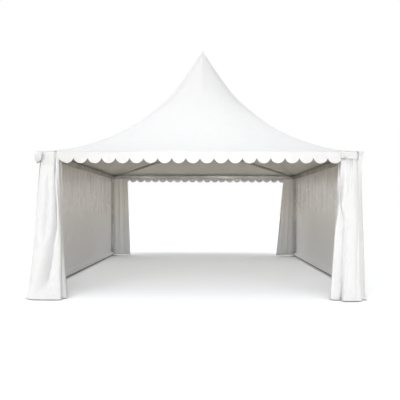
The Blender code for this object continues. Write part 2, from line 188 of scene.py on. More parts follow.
def make_aluminium(direction, turn, light, dark):
    made, tree, shader = finish(f"aluminium_{direction}", Metallic=0.85)
    feeds = {"Vector": object_place(tree), "Rotation": [math.radians(degrees) for degrees in turn]}
    turned = node(tree, "ShaderNodeMapping", feeds).outputs["Vector"]
    metal = place_effect(tree, drawn_metal, {"Vector": turned, "Light": light, "Dark": dark})
    link(tree, shader, {"Base Color": metal["Colour"], "Roughness": metal["Roughness"]})
    raise_surface(tree, shader, metal["Height"], DIE_LINE_DEPTH)
    return made


def dress(made_of, *starts):
    """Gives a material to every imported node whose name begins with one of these."""
    for name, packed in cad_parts.items():
        if name.startswith(starts):
            packed.data.materials.clear()
            packed.data.materials.append(made_of)


for direction, (turn, names) in TUBE_TURNS.items():
    # The rails' darker tones are soil and painted shade at the foot of the walls.
    tones = (SOILED_SHADED_LIGHT, SOILED_SHADED_DARK) if direction == "rail" else (MILL_LIGHT, MILL_DARK)
    dress(make_aluminium(direction, turn, *tones), *names)


# Steel castings and plates
# The base plates, corner castings, crown hub and the cone on the mast are hot-dip galvanised steel, grey with
# the patchwork of zinc crystals. They keep their solids.

ZINC_LIGHT, ZINC_DARK = (0.44, 0.45, 0.45, 1.0), (0.27, 0.27, 0.27, 1.0)
ZINC_LUMP_DEPTH = 0.0006


def make_galvanised():
    """Zinc crystals a centimetre across under a cloudy bloom."""
    made, tree, shader = finish("galvanised_steel", Metallic=0.75)
    place = object_place(tree)
    crystals = node(tree, "ShaderNodeTexVoronoi", {"Vector": place, "Scale": 95.0, "Randomness": 1.0})
    tone = node(tree, "ShaderNodeSeparateColor", {"Color": crystals.outputs["Color"]}).outputs
    bloom = clouds(tree, place, 9.0, 5.0)
    share = ranged(tree, maths(tree, "MULTIPLY_ADD", tone[0], 0.55, bloom), 0.35, 1.15)
    rough = ranged(tree, tone[1], 0.0, 1.0, 0.42, 0.62)
    link(tree, shader, {"Base Color": blend(tree, share, ZINC_DARK, ZINC_LIGHT), "Roughness": rough})
    raise_surface(tree, shader, bloom, ZINC_LUMP_DEPTH)
    return made


dress(make_galvanised(), "base_plate", "corner_bracket", "crown_hub", "mast_cap")


# Bolts
# Zinc-plated M10 bolts with washers pin each tube to the spigot inside it: two in each post under its
# corner casting, and two at each end of a beam. Only their heads and washers show.

BOLT_ACROSS = 0.017
BOLT_HEAD = 0.0065
BOLT_SIDES = 6
BOLTS_FROM_END = 0.028, 0.062
WASHER_RADIUS = 0.0125
WASHER_THICK = 0.002
WASHER_SIDES = 20
ROUNDING = 0.0008
BEAM_DEEP = 0.08
PLATE_BRIGHT, PLATE_DULL = (0.72, 0.72, 0.70, 1.0), (0.576, 0.576, 0.546, 1.0)

mast_low, mast_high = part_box("mast")
MAST = (mast_low + mast_high) / 2
CORNERS = {"rear_right": 0, "rear_left": 90, "front_left": 180, "front_right": 270}


def on_tent(points, degrees=0.0):
    """Points given round the mast's axis, turned about it by a number of degrees, in the tent's frame."""
    turn = math.radians(degrees)
    x, y, z = points[..., 0], points[..., 1], points[..., 2]
    across = x * math.cos(turn) - y * math.sin(turn) + MAST.x
    deep = x * math.sin(turn) + y * math.cos(turn) + MAST.y
    return np.stack((across, deep, z), axis=-1)


def make_zinc_plate():
    """Bright zinc under a thin uneven film."""
    made, tree, shader = finish("zinc_plate", Metallic=0.9)
    film = clouds(tree, object_place(tree), 120.0, 4.0)
    colour = blend(tree, film, PLATE_DULL, PLATE_BRIGHT)
    link(tree, shader, {"Base Color": colour, "Roughness": ranged(tree, film, 0.0, 1.0, 0.22, 0.42)})
    return made


def bolt_head(bm, place, outward):
    """A washer and a hexagon head standing on a face, at a place on it."""
    turn = outward.to_track_quat("Z", "Y").to_matrix().to_4x4()
    for radius, sides, low, high in (
        (WASHER_RADIUS, WASHER_SIDES, 0.0, WASHER_THICK),
        (BOLT_ACROSS / math.sqrt(3), BOLT_SIDES, WASHER_THICK, WASHER_THICK + BOLT_HEAD),
    ):
        stand = Matrix.Translation(place) @ turn @ Matrix.Translation((0, 0, (low + high) / 2))
        made = bmesh.ops.create_cone(
            bm, cap_ends=True, segments=sides, radius1=radius, radius2=radius, depth=high - low, matrix=stand
        )
        edges = {edge for vert in made["verts"] for edge in vert.link_edges}
        rim = {edge for edge in edges if all(len(face.verts) > 4 for face in edge.link_faces[:1])}
        top = [edge for edge in rim if all((v.co - place) @ outward > (low + high) / 2 for v in edge.verts)]
        bmesh.ops.bevel(bm, geom=top, offset=ROUNDING, segments=2, affect="EDGES", profile=0.5)


def make_bolts():
    """Every bolt head of the frame as one mesh."""
    bm = bmesh.new()
    post_low, post_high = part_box("corner_post_rear_right")
    beam_low, beam_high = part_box("eave_beam_rear")
    inner = post_low.x - MAST.x
    middle = inner + (post_high.x - post_low.x) / 2
    beam_end = beam_high.x - MAST.x
    beam_z = (beam_low.z + post_high.z + BEAM_DEEP) / 2
    rows = []
    for off in BOLTS_FROM_END:
        rows.append(((inner, middle, post_high.z - off), (-1, 0, 0)))
        rows.append(((middle, inner, post_high.z - off), (0, -1, 0)))
        rows.append(((inner, beam_end - off, beam_z), (-1, 0, 0)))
        rows.append(((beam_end - off, inner, beam_z), (0, -1, 0)))
    for turn in CORNERS.values():
        for point, outward in rows:
            place = Vector(on_tent(np.array(point), turn))
            bolt_head(bm, place, Matrix.Rotation(math.radians(turn), 3, "Z") @ Vector(outward))
    mesh = bpy.data.meshes.new("frame_bolts")
    bm.to_mesh(mesh)
    bm.free()
    mesh.materials.append(make_zinc_plate())
    made = bpy.data.objects.new("frame_bolts", mesh)
    bpy.context.scene.collection.objects.link(made)
    return made


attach(make_bolts(), "root")


# Roof cloth
# One cover of white coated polyester, welded from four gores with a seam up each hip. The mast lifts its
# peak and the keder rail on the eave beams holds its edge, so it is stretched into one continuous hollow
# curve, with a soft ridge up each gore near the peak and soft hips down to the corners.

EAVE_HALF = 2.55
EAVE_Z = 2.19
PEAK_Z = 4.70
PEAK_HALF = 0.012
TIP_RISE, TIP_NARROW = 0.002, 0.35
MID_SLACK = 0.40
HIP_POWER_PEAK, HIP_POWER_EAVE = 2.25, 1.66
SLACK_DEPTH = 0.007
RIDGE_DEPTH, RIDGE_WIDE = 0.18, 0.35
PUCKER_DEPTH = 0.0045
STRAIN_DEPTH = 0.004
CLOTH = 0.0012
ROOF_LEVELS = 66
ROOF_COLUMNS = 60
ROOF_CROWDING = 1.35
SIDES = {"right": 0, "rear": 90, "left": 180, "front": 270}
ROOF_WHITES = (0.79, 0.795, 0.805, 1.0), (0.77, 0.777, 0.79, 1.0)
# The roof's inner face is painted a warmer white, as the daylight through the cloth.
ROOF_THROUGH_LIT_WHITES = (0.81, 0.80, 0.765, 1.0), (0.78, 0.77, 0.735, 1.0)
SPLASH_BROWN = (0.50, 0.47, 0.42, 1.0)
DULLED_LOW = 0.55
SHEEN_LOST = 0.14
THREAD_DEPTH = 0.00006


def smooth(value, start, end):
    """0 before start and 1 after end, with a soft step between them."""
    share = np.clip((value - start) / (end - start), 0.0, 1.0)
    return share * share * (3 - 2 * share)


def drift(points, scale, seed):
    """Smooth random numbers between about -1 and 1 that change over this many metres."""
    places = points.reshape(-1, 3) / scale + seed
    return np.array([noise.noise(Vector(p)) for p in places]).reshape(points.shape[:-1])


def canopy_height(x, y):
    """The roof's outer face: round like a cone at the peak, with four hips that flatten to the corners."""
    near, far = np.minimum(abs(x), abs(y)), np.maximum(abs(x), abs(y))
    share = np.minimum(far / EAVE_HALF, 1.0)
    rest = 1 - share
    middle = (1 - MID_SLACK) * rest**2 + MID_SLACK * rest
    hip = rest ** (HIP_POWER_PEAK + (HIP_POWER_EAVE - HIP_POWER_PEAK) * share)
    turn = (np.sqrt(1 + (near / far) ** 2) - 1) / (math.sqrt(2) - 1)
    return EAVE_Z + (PEAK_Z - EAVE_Z) * (middle + (hip - middle) * turn)


def cloth(name, points, flat, look, thick=CLOTH, closed=False, offset=-1.0, inside_look=None):
    """A sheet through rows and columns of points, with its flat places in metres as its map.

    Its face is the side from which the columns run to the right and the rows run down. With closed, the last
    column joins the first. The look given for the inside is that of its other side, which on the tent is a
    warmer white painted as the daylight through the cloth.
    """
    rows, columns = points.shape[:2]
    index = np.arange(rows * columns).reshape(rows, columns)
    if closed:
        index = np.hstack((index, index[:, :1]))
    corners = (index[:-1, :-1], index[1:, :-1], index[1:, 1:], index[:-1, 1:])
    quads = np.stack(corners, axis=-1).reshape(-1, 4)
    mesh = bpy.data.meshes.new(name)
    mesh.from_pydata(points.reshape(-1, 3).tolist(), [], quads.tolist())
    cover = mesh.uv_layers.new(name="cloth")
    cover.data.foreach_set("uv", flat.reshape(-1, 2)[quads.reshape(-1)].astype(np.float32).ravel())
    mesh.shade_smooth()
    mesh.materials.append(look)
    made = bpy.data.objects.new(name, mesh)
    bpy.context.scene.collection.objects.link(made)
    layer = made.modifiers.new("cloth thickness", "SOLIDIFY")
    layer.thickness = thick
    layer.offset = offset
    layer.use_even_offset = True
    if inside_look:
        mesh.materials.append(inside_look)
        layer.material_offset = 1
    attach(made, "root")
    return made


def make_thread_print():
    """The grid of threads that prints through the coating, from the sheet's map in metres."""
    takes = {"Vector": ("Vector", None), "Threads": ("Float", 900.0)}
    tree, take, give = effect("thread print", takes, {"Height": "Float"})
    feeds = {"Vector": take["Vector"], "Scale": take["Threads"], "Distortion": 0.0}
    waves = []
    for direction in ("X", "Y"):
        wave = node(tree, "ShaderNodeTexWave", feeds, wave_type="BANDS", bands_direction=direction)
        waves.append(wave.outputs["Fac"])
    link(tree, give, {"Height": maths(tree, "MULTIPLY", *waves)})
    return tree


def make_handled_cloth():
    """Soft dents and faint scuffs, and packing creases in a grid, from the sheet's map in metres."""
    takes = {"Vector": ("Vector", None), "Fold Size": ("Float", 0.62), "Dent Size": ("Float", 0.16)}
    tree, take, give = effect("handled cloth", takes, {"Height": "Float", "Scuff": "Float"})
    warp = node(tree, "ShaderNodeTexNoise", {"Vector": take["Vector"], "Scale": 1.7, "Detail": 2.0}).outputs
    shift = vectors(tree, "MULTIPLY", warp["Color"], (0.045, 0.045, 0.0))
    size = node(tree, "ShaderNodeCombineXYZ", {"X": take["Fold Size"], "Y": take["Fold Size"], "Z": 1.0})
    cells = vectors(tree, "DIVIDE", vectors(tree, "ADD", take["Vector"], shift), size.outputs[0])
    parts = node(tree, "ShaderNodeSeparateXYZ", {"Vector": cells}).outputs
    lines = [soft_step(tree, maths(tree, "PINGPONG", parts[axis], 1.0), 0.012, 0.0) for axis in ("X", "Y")]
    faded = soft_step(tree, warp["Fac"], 0.42, 0.58)
    crease = maths(tree, "MULTIPLY", maths(tree, "MAXIMUM", *lines), faded)
    upright = vectors(tree, "MULTIPLY", take["Vector"], (1.0, 0.45, 1.0))
    dents = clouds(tree, upright, maths(tree, "DIVIDE", 1.0, take["Dent Size"]), 4.0, Roughness=0.45)
    scuffs = clouds(tree, take["Vector"], 5.5, 8.0, Roughness=0.72, Distortion=0.6)
    height = maths(tree, "MULTIPLY_ADD", crease, 0.25, dents)
    link(tree, give, {"Height": height, "Scuff": soft_step(tree, scuffs, 0.50, 0.72)})
    return tree


def make_weathering():
    """Rain streaks, and a tone that fades up from the ground: dirt outside, painted floor light on inner
    faces.
    """
    takes = {"Vector": ("Vector", None), "Splash And Light Height": ("Float", 0.16), "Streak Size": ("Float", 0.09)}
    tree, take, give = effect("weathering", takes, {"Low": "Float", "Splash And Floor Light": "Float", "Streak": "Float"})
    height = node(tree, "ShaderNodeSeparateXYZ", {"Vector": take["Vector"]}).outputs["Z"]
    level = maths(tree, "DIVIDE", height, take["Splash And Light Height"])
    spots = ranged(tree, clouds(tree, take["Vector"], 26.0, 7.0, Roughness=0.7), 0.30, 0.75)
    splash_and_floor_light = maths(tree, "MULTIPLY", ranged(tree, level, 1.0, 0.0, step="SMOOTHERSTEP"), spots)
    drawn = vectors(tree, "MULTIPLY", take["Vector"], (1.0, 1.0, 0.06))
    runs = clouds(tree, drawn, maths(tree, "DIVIDE", 1.0, take["Streak Size"]), 5.0)
    uneven = maths(tree, "MULTIPLY_ADD", runs, 1.3, level)
    low = ranged(tree, uneven, 1.65, 0.65, step="SMOOTHERSTEP")
    link(tree, give, {"Low": low, "Splash And Floor Light": splash_and_floor_light, "Streak": soft_step(tree, runs, 0.48, 0.78)})
    return tree


thread_print = make_thread_print()
handled_cloth = make_handled_cloth()
weathering = make_weathering()


def make_coated_cloth(name, whites, sheen, dent, fold, dent_size, splash_and_floor_light=(0.01, 0.0), dirt_and_floor_light=SPLASH_BROWN):
    """Satin coated cloth: white with greyer scuffs and streaks, dents, packing creases and a printed weave.

    dent is how deep the dents are, and fold and dent_size are how far apart the creases and the dents lie.
    The last two give a tone at the foot, (how high it reaches up the cloth, how strong it is) and its colour:
    splashed dirt on outer faces and painted light from the floor on inner ones.
    """
    splash_and_light_height, splash_and_light_share = splash_and_floor_light
    made, tree, shader = finish(name, IOR=1.48)
    laid = node(tree, "ShaderNodeUVMap", uv_map="cloth").outputs["UV"]
    handled = place_effect(tree, handled_cloth, {"Vector": laid, "Fold Size": fold, "Dent Size": dent_size})
    weather = place_effect(tree, weathering, {"Vector": object_place(tree), "Splash And Light Height": splash_and_light_height})
    threads = place_effect(tree, thread_print, {"Vector": laid})["Height"]
    soiled = maths(tree, "MULTIPLY_ADD", weather["Streak"], 0.5, handled["Scuff"], use_clamp=True)
    # The foot tone is splashed dirt on outer faces and painted light from the floor on inner ones.
    share = maths(tree, "MULTIPLY", weather["Splash And Floor Light"], splash_and_light_share)
    colour = blend(tree, share, blend(tree, soiled, *whites), dirt_and_floor_light)
    rough = ranged(tree, soiled, 0.0, 1.0, sheen, sheen + SHEEN_LOST)
    dulled = maths(tree, "MULTIPLY_ADD", weather["Low"], DULLED_LOW, rough, use_clamp=True)
    height = maths(tree, "MULTIPLY_ADD", threads, THREAD_DEPTH / dent, handled["Height"])
    link(tree, shader, {"Base Color": colour, "Roughness": dulled})
    raise_surface(tree, shader, height, dent)
    return made


stretched = {"sheen": 0.46, "dent": 0.0012, "fold": 0.95, "dent_size": 0.30}
roof_white = make_coated_cloth("roof_cloth", ROOF_WHITES, **stretched)
# Its inner face is painted a warmer white, as the daylight through the cloth.
roof_through_lit = make_coated_cloth("roof_through_lit", ROOF_THROUGH_LIT_WHITES, **stretched)
roof_weld = make_coated_cloth("roof_weld", ROOF_WHITES, sheen=0.42, dent=0.0003, fold=5.0, dent_size=0.05)


def roof_point(x, y):
    """The height of the stretched cover, with its slack, its ridges, and creases at the eave and corners."""
    near, far = np.minimum(abs(x), abs(y)), np.maximum(abs(x), abs(y))
    flat = np.stack((x, y, np.zeros_like(x)), axis=-1)
    inward = EAVE_HALF - far
    held = smooth(inward, 0.0, 0.35) * smooth(far, 0.05, 0.7)
    slack = SLACK_DEPTH * drift(flat, 0.9, 3.7) * held * smooth(far - near, 0.0, 0.5)
    by_peak = smooth(far, 0.04, 0.25) * (1 - smooth(far, 0.35, 1.05))
    ridged = RIDGE_DEPTH * far * by_peak * (np.exp(-near / (RIDGE_WIDE * far)) - 1)
    along = np.stack((x * 1.6, y * 1.6, far * 9.0), axis=-1)
    puckers = PUCKER_DEPTH * drift(along, 0.42, 11.3) * np.exp(-inward / 0.07) * smooth(inward, 0.0, 0.02)
    corner = np.hypot(EAVE_HALF - abs(x), EAVE_HALF - abs(y)) + 1e-6
    angle = np.arctan2(EAVE_HALF - abs(x), EAVE_HALF - abs(y))
    strain = STRAIN_DEPTH * np.sin(angle * 15) * smooth(corner, 0.05, 0.3) * np.exp(-corner / 0.55)
    return canopy_height(x, y) + slack + ridged + puckers + strain * smooth(inward, 0.0, 0.1)


def make_roof():
    first = PEAK_HALF / EAVE_HALF
    shares = first + (1 - first) * (np.arange(ROOF_LEVELS + 1) / ROOF_LEVELS) ** ROOF_CROWDING
    out = (shares * EAVE_HALF)[:, None]
    across = out * (2 * np.arange(ROOF_COLUMNS) / ROOF_COLUMNS - 1)
    gores = []
    for turn in SIDES.values():
        angle = math.radians(turn)
        x = out * math.cos(angle) - across * math.sin(angle)
        y = out * math.sin(angle) + across * math.cos(angle)
        gores.append(np.stack((x, y), axis=-1))
    plan = np.hstack(gores)
    points = np.dstack((plan, roof_point(plan[..., 0], plan[..., 1])))
    tip = points[:1] * (TIP_NARROW, TIP_NARROW, 0.0) + (0.0, 0.0, PEAK_Z + TIP_RISE)
    points = np.concatenate((tip, points))
    flat = points[..., :2]
    made = cloth("roof_cover", on_tent(points), flat, roof_white, closed=True, inside_look=roof_through_lit)
    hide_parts(*(f"roof_panel_{side}" for side in SIDES))
    return made


roof_cover = make_roof()

SEAM_WIDE = 0.042
SEAM_PROUD = 0.0011
SEAM_LONG = 3.4
SEAM_FROM, SEAM_TO = 0.07, 2.51
SEAM_ROWS, SEAM_COLUMNS = 100, 5


def make_hip_weld(corner, degrees):
    """A welded band of cloth down one hip, a straight line as seen from above."""
    turn = Matrix.Rotation(math.radians(degrees), 2)
    start, end = (np.array(turn @ Vector((far, far))) for far in (SEAM_FROM, SEAM_TO))
    run = (end - start) / np.linalg.norm(end - start)
    side = np.array((-run[1], run[0]))
    rows = []
    for share in np.linspace(0, 1, SEAM_ROWS):
        spot = start + (end - start) * share
        places = [spot + side * SEAM_WIDE * edge for edge in np.linspace(0.5, -0.5, SEAM_COLUMNS)]
        rows.append([(x, y, float(roof_point(x, y)) + SEAM_PROUD) for x, y in places])
    grid = np.meshgrid(np.linspace(0, SEAM_WIDE, SEAM_COLUMNS), np.linspace(0, SEAM_LONG, SEAM_ROWS))
    flat = np.stack(grid, axis=-1)
    return cloth(f"roof_hip_weld_{corner}", on_tent(np.array(rows)), flat, roof_weld, thick=SEAM_PROUD)


[make_hip_weld(corner, degrees) for corner, degrees in CORNERS.items()]


# Valances
# A strip of the roof's cloth, 190 mm deep, hangs under each eave, its lower edge scalloped and bound with
# tape. The front strip's left end is drawn up to a point and its right end is caught up in a swag. The left
# strip curls on round the front corner, and a small flap closes the right one.

VALANCE_OUT = 2.549
VALANCE_TOP = EAVE_Z - 0.0015
VALANCE_ROWS = 12
SCALLOP_Z = 2.000
NOTCH_Z = 2.085
SCALLOPS = {"front": 23, "rear": 25, "left": 23, "right": 23}
SCALLOP_STEPS = 14
TAPE_WIDE = 0.010
TAPE_THICK = 0.0034
SWAG_START, SWAG_END = 2.235, 2.443
SWAG_HIGH, SWAG_LOW = 2.112, 2.066
# The cut edge of the ends that are drawn up, as (place along the valance, height) points.
DRAWN_UP = {
    "front": [(-2.266, 2.162), (-2.249, 2.12), (-2.233, 2.088), (-2.21, 2.053), (-2.17, 2.022), (-2.106, 2)],
    "right": [(-2.55, 2.165), (-2.52, 2.15), (-2.47, 2.10), (-2.43, 2.045), (-2.39, 2.01), (-2.328, 2)],
}
# The left strip's way round the corner, as (out, across) points.
WRAP_START = EAVE_HALF - 0.10
WRAP_CORNER = (
    (VALANCE_OUT, WRAP_START),
    (VALANCE_OUT + 0.0098, EAVE_HALF - 0.05),
    (VALANCE_OUT + 0.028, EAVE_HALF - 0.004),
    (VALANCE_OUT + 0.0196, EAVE_HALF + 0.022),
    (VALANCE_OUT - 0.007, EAVE_HALF + 0.026),
    (VALANCE_OUT - 0.056, EAVE_HALF + 0.014),
)
# (depth, size, seed) of the waves in it
WAVES = (0.0065, 0.33, 5.1), (0.003, 0.12, 9.3)
CUP_DEPTH = 0.0035
SIDE_SEEDS = {"front": 1.0, "rear": 21.0, "left": 41.0, "right": 61.0}
VALANCE_WHITES = (0.77, 0.772, 0.785, 1.0), (0.735, 0.735, 0.74, 1.0)


def run_along(line):
    """The length run along a line at each of its points."""
    return np.concatenate(([0.0], np.cumsum(np.linalg.norm(np.diff(line, axis=0), axis=1))))


def smooth_line(points, count):
    """Points spaced evenly by length on a smooth curve through a few given ones."""
    points = np.array(points, float)
    padded = np.vstack((2 * points[0] - points[1], points, 2 * points[-1] - points[-2]))
    curve = []
    for k in range(len(points) - 1):
        before, start, end, after = padded[k : k + 4]
        for t in np.linspace(0, 1, 24, endpoint=False):
            bend = (2 * before - 5 * start + 4 * end - after) * t**2
            twist = (3 * start - before - 3 * end + after) * t**3
            curve.append((2 * start + (end - before) * t + bend + twist) / 2)
    curve = np.array(curve + [points[-1]])
    run = run_along(curve)
    places = np.linspace(0, run[-1], count)
    return np.stack([np.interp(places, run, curve[:, k]) for k in range(curve.shape[1])], axis=-1)


def outward(plan):
    """The level direction out of each row of points of a hanging sheet, seen from above."""
    run = np.gradient(plan, axis=-2)
    away = np.stack((run[..., 1], -run[..., 0]), axis=-1)
    return away / np.linalg.norm(away, axis=-1, keepdims=True)


def scallop_shape(side):
    """(width of a scallop, radius of its arc)"""
    pitch = 2 * EAVE_HALF / SCALLOPS[side]
    rise = NOTCH_Z - SCALLOP_Z
    return pitch, (pitch**2 / 4 + rise**2) / (2 * rise)


def scallop_places(side, start, end):
    """Places along a valance, closer together where its scallops turn sharply, from start to end."""
    pitch, radius = scallop_shape(side)
    reach = math.asin(pitch / 2 / radius)
    places = [start, end]
    for k in range(math.floor(start / pitch) - 1, math.ceil(end / pitch) + 1):
        for step in range(SCALLOP_STEPS):
            places.append((k + 0.5) * pitch + radius * math.sin(reach * (2 * step / SCALLOP_STEPS - 1)))
    return np.array(sorted({round(p, 5) for p in places if start <= p <= end}))


def scallop_edge(side, places):
    """(height of the cut edge, how far it leans over) at places along a valance."""
    pitch, radius = scallop_shape(side)
    off = (places / pitch) % 1.0 * pitch - pitch / 2
    arc = SCALLOP_Z + radius - np.sqrt(radius**2 - off**2)
    edge = arc
    if side == "front":
        share = np.clip((places - SWAG_START) / (SWAG_END - SWAG_START), 0, 1)
        swag = SWAG_HIGH + (SWAG_LOW - SWAG_HIGH) * np.sin(share * 2.0)
        edge = np.where(places > SWAG_START, swag, edge)
    if side in DRAWN_UP:
        drawn, raised = zip(*DRAWN_UP[side])
        edge = np.where(places < drawn[-1], np.interp(places, drawn, raised), edge)
    return edge, np.where(edge == arc, off / radius, 0.0)


def valance_stands(side, places, heights):
    """How far a valance stands off its plane: it waves more the lower it hangs, and each scallop cups."""
    pitch = scallop_shape(side)[0]
    low = np.clip((VALANCE_TOP - heights) / (VALANCE_TOP - SCALLOP_Z), 0, 1)
    flat = np.stack((places, heights * 0.5, np.full_like(places, SIDE_SEEDS[side])), axis=-1)
    stands = low * sum(deep * drift(flat, size, draw) for deep, size, draw in WAVES)
    stands += CUP_DEPTH * low**2 * np.cos(2 * math.pi * places / pitch)
    stands += 0.0015 * drift(flat, 0.5, 2.2)
    if side == "front":
        over = smooth(-places, 2.16, 2.24) + smooth(places, 2.18, 2.26)
        stands += 0.010 * over * smooth(low, 0.0, 0.5)
        stands += 0.010 * smooth(places, SWAG_START, 2.4) * np.sin(low * 2.6)
    if side == "left":
        stands += 0.034 * smooth(places, 2.40, 2.55) * np.sin(math.pi * low) ** 0.8
    return stands


wrap_line = smooth_line(WRAP_CORNER, 60)
wrap_run = run_along(wrap_line)
VALANCE_ENDS = {
    "front": (DRAWN_UP["front"][0][0], SWAG_END),
    "rear": (-EAVE_HALF, EAVE_HALF),
    "left": (-EAVE_HALF, WRAP_START + wrap_run[-1]),
    "right": (-EAVE_HALF, EAVE_HALF),
}


def valance_plan(side, places):
    """(out from the mast, across) along a valance, seen from above. The left one turns round the corner."""
    if side != "left":
        return np.stack((np.full_like(places, VALANCE_OUT), places), axis=-1)
    past = places - WRAP_START
    out = np.where(past > 0, np.interp(past, wrap_run, wrap_line[:, 0]), VALANCE_OUT)
    across = np.where(past > 0, np.interp(past, wrap_run, wrap_line[:, 1]), places)
    return np.stack((out, across), axis=-1)


def valance_points(side, places, heights, proud=0.0):
    """Points of a valance at places along it and heights, standing off it by proud metres."""
    plan = valance_plan(side, places)
    line = plan + outward(plan) * (valance_stands(side, places, heights) + proud)[..., None]
    return on_tent(np.dstack((line[..., 0], line[..., 1], heights)), SIDES[side])


def make_valance(side):
    start, end = VALANCE_ENDS[side]
    line = scallop_places(side, start, end)
    places = np.tile(line, (VALANCE_ROWS + 1, 1))
    edge, lean = scallop_edge(side, line)
    heights = VALANCE_TOP + (edge - VALANCE_TOP) * np.linspace(0, 1, VALANCE_ROWS + 1)[:, None]
    flat = np.stack((places, heights), axis=-1)
    strip = cloth(f"valance_strip_{side}", valance_points(side, places, heights), flat, valance_white)
    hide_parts(f"valance_{side}")

    inward = np.linspace(TAPE_WIDE, 0.0, 4)[:, None]
    places = np.clip(line - inward * lean, start, end)
    heights = edge + inward * np.sqrt(1 - lean**2)
    flat = np.stack((places, heights), axis=-1)
    bound = valance_points(side, places, heights, -CLOTH / 2)
    tape = cloth(f"valance_tape_{side}", bound, flat, roof_weld, thick=TAPE_THICK, offset=0.0)


valance_white = make_coated_cloth(
    "valance_cloth", VALANCE_WHITES, sheen=0.42, dent=0.0016, fold=0.9, dent_size=0.10
)
for side in SIDES:
    make_valance(side)

FLAP_START, FLAP_END, FLAP_TOP = -2.549, -2.462, 2.1885
FLAP_TIP = (-2.503, 2.122)
FLAP_OUT = 2.5525
FLAP_BLUNT = 0.97


def make_corner_flap():
    """The small triangle of cloth under the roof's front right corner."""
    across, down = np.meshgrid(np.linspace(FLAP_END, FLAP_START, 12), np.linspace(0, FLAP_BLUNT, 10))
    across = across + (FLAP_TIP[0] - across) * down
    heights = FLAP_TOP + (FLAP_TIP[1] - FLAP_TOP) * down
    out = FLAP_OUT + 0.006 * np.sin(math.pi * down) + 0.003 * np.cos(60 * across)
    points = on_tent(np.dstack((out, -across, heights)), SIDES["front"])
    made = cloth("valance_corner_flap", points, np.stack((across, heights), axis=-1), valance_white)


make_corner_flap()


# Side walls
# Each closed side is one sheet of satin coated cloth, hung from the eave beam outside the posts and run down
# past the rail to the ground. It puckers below the band on its top edge, and a seam runs up its middle. Its
# inner face is painted a brighter, warmer white as the daylight through the cloth, cooler towards the foot as
# painted light from the floor, and a skirt of the same inner look, welded to it, laps in over the ground
# rail.

WALL_OUT = 2.5238
WALL_TOP = 2.164
WALL_FOOT = 0.004
WALL_ENDS = 2.519
WALL_COLUMNS = 300
WALL_ROWS = 92
BAND_DEEP = 0.045
BAND_PROUD = 0.0012
WELD_THICK = 0.001
WELD_PROUD = 0.0011
WELD_HALF = 0.02
SKIRT_ENDS = 2.45
# The skirt's line over the rail, as (distance in from the wall, height) points.
SKIRT_RUN = (
    (0.0, 0.186),
    (0.001, 0.145),
    (0.008, 0.112),
    (0.030, 0.089),
    (0.056, 0.078),
    (0.067, 0.068),
    (0.0685, 0.034),
)
BEAM_FOOT = 2.09
RAIL_TOP = 0.07
POST_IN = 2.455
HELD_NEAR = 0.12
# (depth, size, seed) of the slack in it
SLACKS = (0.004, 0.8, 1.7), (0.002, 0.22, 4.1)
PUCKERS = 24
CREASES = 5
CREASE_DEPTH = 0.010
WALL_WHITES = (0.80, 0.80, 0.805, 1.0), (0.755, 0.755, 0.755, 1.0)
# The inner faces' colours are painted light: a brighter, warmer white for the daylight through the cloth, and
# towards the foot a cooler tone for the light from the floor.
THROUGH_LIT_WHITES = (0.985, 0.96, 0.92, 1.0), (0.955, 0.925, 0.875, 1.0)
PAINTED_FLOOR_LIGHT = (0.93, 0.955, 0.99, 1.0)
COOL_FOOT = (1.8, 1.9)


def wall_stands(side, across, heights):
    """How far a wall stands out: a lazy slack, puckers below the top edge, and a few slanting creases."""
    seed = SIDE_SEEDS[side]
    lively = 1.0 if side == "left" else 0.7
    flat = np.stack((across, heights * 0.35, np.full_like(across, seed)), axis=-1)
    stands = sum(deep * drift(flat, size, draw) for deep, size, draw in SLACKS)
    behind_middle = -across if side == "left" else across
    crumpled = 0.30 + 0.70 * smooth(behind_middle, -1.6, -0.2)
    dice = np.random.default_rng(int(seed))
    for k in range(PUCKERS):
        place = WALL_ENDS * (2 * (k + dice.uniform(0.1, 0.9)) / PUCKERS - 1)
        lean = dice.uniform(-0.10, 0.10)
        wide = dice.uniform(0.035, 0.075)
        deep = dice.uniform(0.010, 0.028) * lively * dice.choice((-1.0, 1.0))
        foot = dice.uniform(1.05, 1.5)
        spine = place + lean * (WALL_TOP - heights) + 0.025 * np.sin(heights * 9 + 2.4 * k)
        reach = smooth(heights, foot, foot + 0.4) * (1 - smooth(heights, 1.96, 2.10))
        stands += deep * crumpled * reach * np.exp(-np.abs((across - spine) / wide) ** 1.5)
    for k in range(CREASES):
        place, level = dice.uniform(-2.0, 2.0), dice.uniform(0.5, 1.1)
        slant = dice.uniform(0.5, 1.1) * (1 if k % 2 else -1)
        off = (heights - level - slant * (across - place)) / math.hypot(1, slant)
        run = np.hypot(across - place, heights - level)
        stands += CREASE_DEPTH * lively * np.exp(-((off / 0.045) ** 2) - (run / 0.3) ** 2)
    by_beam = smooth(heights, BEAM_FOOT - HELD_NEAR, BEAM_FOOT)
    by_rail = smooth(-heights, -RAIL_TOP - 0.1, -RAIL_TOP)
    by_frame = by_beam + by_rail + smooth(abs(across), POST_IN - HELD_NEAR, POST_IN)
    free = 1 - np.clip(by_frame, 0, 1)
    return stands * free + np.maximum(stands, 0.0) * 0.4 * (1 - free)


def wall_piece(part, side, across, heights, look, proud=0.0, thick=WELD_THICK, inside_look=None):
    """A piece of a side wall through places across and heights, standing off the wall by proud metres."""
    across, heights = np.meshgrid(across, heights)
    out = WALL_OUT + wall_stands(side, across, heights) + proud
    points = on_tent(np.dstack((out, across, heights)), SIDES[side])
    flat = np.stack((across, heights), axis=-1)
    made = cloth(f"wall_{part}_{side}", points, flat, look, thick=thick, inside_look=inside_look)
    return made


